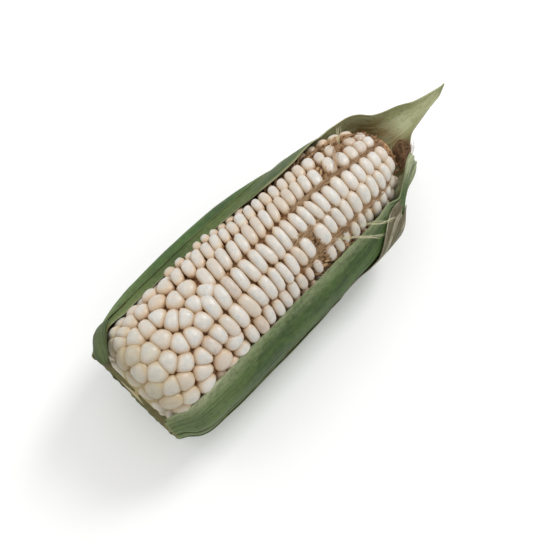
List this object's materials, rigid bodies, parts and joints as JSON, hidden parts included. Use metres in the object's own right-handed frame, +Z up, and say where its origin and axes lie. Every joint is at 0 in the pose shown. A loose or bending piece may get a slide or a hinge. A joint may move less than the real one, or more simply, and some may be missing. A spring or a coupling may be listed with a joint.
{
  "type": "corn cob",
  "caption": "Stubby ear of large-kernelled white maize lying in its partly stripped green husk, cut flush at the base.",
  "frame": {"origin": "middle of the footprint, on the surface the ear lies on", "axes": "+X along the ear towards the tip of its long husk leaf, +Z up, the bared kernels facing up, +Y on the side of the narrow husk margin"},
  "size_m": [0.216, 0.073, 0.064],
  "materials": {
    "kernels": "milky cream-white grain skin, satin, slightly translucent",
    "cob": "tan brown chaff and pith, dull",
    "husk": "fresh green leaf with fine lengthwise veins, satin",
    "husk_pale": "olive to yellow-green inner leaf, veined, satin",
    "husk_withered": "dry grey-tan leaf, wrinkled, dull",
    "silk": "dry tan to dark brown threads, dull"
  },
  "bodies": {
    "root": {"cob": "cob", "butt_kernels": "kernels", "kernel_row_01": "kernels", "kernel_row_02": "kernels", "kernel_row_03": "kernels", "kernel_row_04": "kernels", "kernel_row_05": "kernels", "kernel_row_06": "kernels", "kernel_row_07": "kernels", "kernel_row_08": "kernels", "kernel_row_09": "kernels", "kernel_row_10": "kernels", "kernel_row_11": "kernels", "kernel_row_12": "kernels", "kernel_row_13": "kernels", "kernel_row_14": "kernels", "kernel_row_15": "kernels", "kernel_row_16": "kernels", "husk_leaf_outer_under": "husk", "husk_leaf_outer_right": "husk", "husk_leaf_outer_left": "husk", "husk_leaf_hood": "husk_pale", "husk_leaf_withered": "husk_withered", "husk_leaf_inner_right": "husk", "husk_leaf_inner_under": "husk_pale", "silk_tuft": "silk", "silk_strands_upper": "silk", "silk_strands_lower": "silk"}
  },
  "joints": []
}
